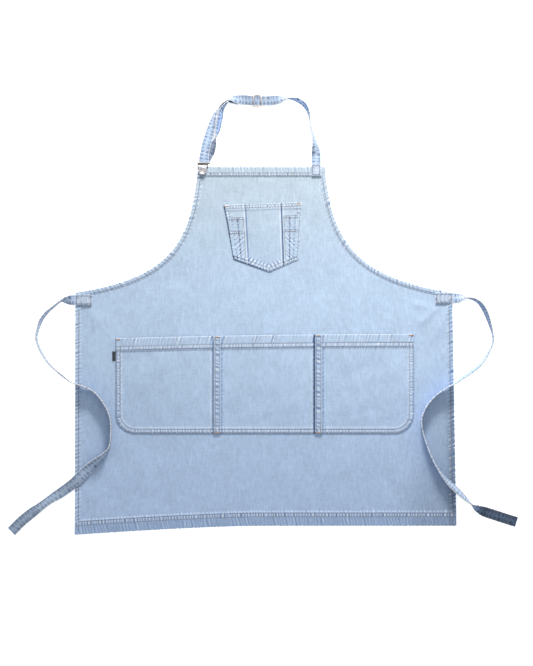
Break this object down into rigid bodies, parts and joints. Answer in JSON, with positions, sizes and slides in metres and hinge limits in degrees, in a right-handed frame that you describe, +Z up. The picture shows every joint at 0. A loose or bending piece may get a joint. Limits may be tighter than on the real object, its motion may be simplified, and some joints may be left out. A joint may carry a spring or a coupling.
{
  "type": "artist smock apron",
  "caption": "Denim bib apron lying flat, with a buckled adjustable neck strap, a bib pocket with tool slots, a wide divided waist pocket and loose waist ties.",
  "frame": {"origin": "centre of the apron's outline without its free waist ties, on the table it lies on", "axes": "+X across the apron to its right in the view, +Y towards the neck strap, +Z up off the table"},
  "size_m": [1.0716, 0.9279, 0.0259],
  "materials": {
    "denim": "light washed indigo denim twill",
    "denim_strap": "light washed denim, folded and edge stitched",
    "topstitch_thread": "tan cotton topstitching",
    "bartack_thread": "dense orange-tan thread",
    "pewter": "antique pewter, worn",
    "bronze_wire": "antique bronze wire",
    "button_plastic": "moulded core, hidden",
    "label_cloth": "black woven tape, plain"
  },
  "bodies": {
    "root": {"main_panel": "denim", "pocket_panel_left": "denim", "pocket_panel_center": "denim", "pocket_panel_right": "denim", "bib_pocket": "denim", "bib_slot_left_tall": "denim", "bib_slot_left_short": "denim", "bib_slot_right_tall": "denim", "bib_slot_right_short": "denim", "neck_strap_end": "denim_strap", "waist_tie_left_end": "denim_strap", "waist_tie_right_end": "denim_strap", "stitch_top_hem": "topstitch_thread", "stitch_bottom_hem": "topstitch_thread", "stitch_armhole_left": "topstitch_thread", "stitch_armhole_right": "topstitch_thread", "stitch_side_left": "topstitch_thread", "stitch_side_right": "topstitch_thread", "stitch_pocket_hem_left": "topstitch_thread", "stitch_pocket_hem_center": "topstitch_thread", "stitch_pocket_hem_right": "topstitch_thread", "stitch_divider_left": "topstitch_thread", "stitch_divider_right": "topstitch_thread", "stitch_pocket_left_end": "topstitch_thread", "stitch_pocket_right_end": "topstitch_thread", "stitch_pocket_bottom_left": "topstitch_thread", "stitch_pocket_bottom_center": "topstitch_thread", "stitch_pocket_bottom_right": "topstitch_thread", "stitch_bib_pocket_bottom": "topstitch_thread", "stitch_bib_pocket_mouth": "topstitch_thread", "stitch_neck_box": "topstitch_thread", "stitch_tie_left_box": "topstitch_thread", "stitch_tie_right_box": "topstitch_thread", "bartack_pocket_left": "bartack_thread", "bartack_pocket_right": "bartack_thread", "bartack_divider_left_top": "bartack_thread", "bartack_divider_left_bottom": "bartack_thread", "bartack_divider_right_top": "bartack_thread", "bartack_divider_right_bottom": "bartack_thread", "bartack_bib_left": "bartack_thread", "bartack_bib_right": "bartack_thread", "button_tack": "pewter", "buckle_wire": "bronze_wire", "buckle_bar": "bronze_wire"},
    "neck_loop": {"neck_strap": "denim_strap", "neck_strap_return": "denim_strap"},
    "slider": {"slider_frame": "bronze_wire", "slider_pin": "pewter"},
    "tie_left": {"waist_tie_left": "denim_strap"},
    "tie_right": {"waist_tie_right": "denim_strap"},
    "button": {"button_cap": "pewter", "button_core": "button_plastic"},
    "label": {"side_label": "label_cloth"}
  },
  "joints": [
    {"name": "neck_loop_fold", "type": "hinge", "parent": "root", "child": "neck_loop", "pos_m": [0, 0.3093, 0.0053], "axis": [1, 0, 0], "range_deg": [0, 115]},
    {"name": "slider_travel", "type": "slide", "parent": "neck_loop", "child": "slider", "axis": [1, 0, 0], "range_m": [-0.005, 0.01]},
    {"name": "tie_left_lift", "type": "hinge", "parent": "root", "child": "tie_left", "pos_m": [-0.3985, 0.0368, 0.0058], "axis": [-1, 0, 0], "range_deg": [0, 90]},
    {"name": "tie_right_lift", "type": "hinge", "parent": "root", "child": "tie_right", "pos_m": [0.3955, 0.0415, 0.0058], "axis": [-1, 0, 0], "range_deg": [0, 90]},
    {"name": "button_spin", "type": "hinge", "parent": "root", "child": "button", "pos_m": [-0.1295, 0.296, 0.006], "axis": [0, 0, 1], "continuous": true},
    {"name": "label_flip", "type": "hinge", "parent": "root", "child": "label", "pos_m": [-0.3128, -0.093, 0.0021], "axis": [0, 1, 0], "range_deg": [0, 90]}
  ]
}
